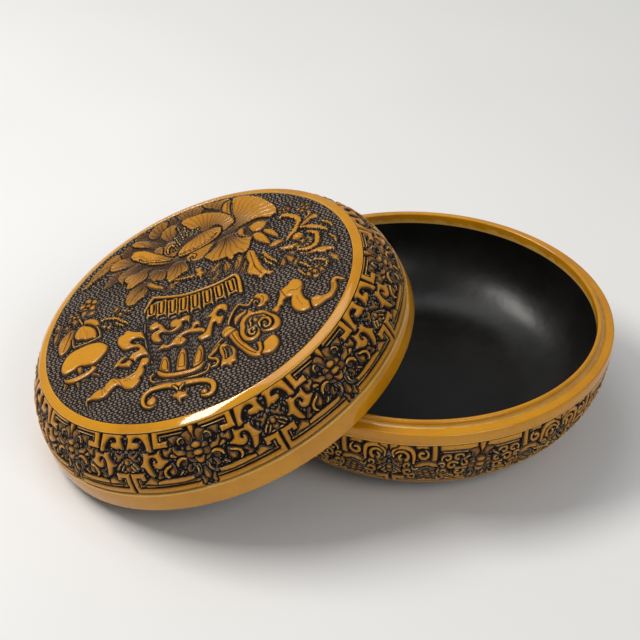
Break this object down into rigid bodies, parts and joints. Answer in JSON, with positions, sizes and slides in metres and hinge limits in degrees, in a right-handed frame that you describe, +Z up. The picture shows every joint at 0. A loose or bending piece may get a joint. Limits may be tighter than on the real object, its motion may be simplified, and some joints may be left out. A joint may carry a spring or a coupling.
{
  "type": "round carved lacquer box with lid",
  "caption": "Round low lacquer box in two halves with carved side bands and top, plain ochre rims and a black inside; the lid is off and leans on the base.",
  "frame": {"origin": "centre of the footprint of both halves, on the table", "axes": "+Z up; +X from the leaning lid towards the base, along the longest extent; +Y to the back"},
  "size_m": [0.3279, 0.2208, 0.1168],
  "materials": {
    "wood_core": "turned wood, covered",
    "black_lacquer": "satin black lacquer",
    "carved_lacquer": "carved ochre lacquer over black",
    "ochre_lacquer": "polished ochre lacquer"
  },
  "bodies": {
    "base": {"base_core": "wood_core", "base_floor": "wood_core", "base_lining": "black_lacquer", "base_side_band": "carved_lacquer", "base_mouth_ring": "ochre_lacquer", "base_foot_ring": "black_lacquer", "base_underside": "black_lacquer"},
    "lid": {"lid_core": "wood_core", "lid_board": "wood_core", "lid_lining": "black_lacquer", "lid_side_band": "carved_lacquer", "lid_mouth_ring": "ochre_lacquer", "lid_top_ring": "ochre_lacquer", "lid_top_panel": "carved_lacquer"}
  },
  "joints": [
    {"name": "lid_lift", "type": "slide", "parent": "base", "child": "lid", "axis": [0, 0, 1], "range_m": [0, 0.1]}
  ]
}
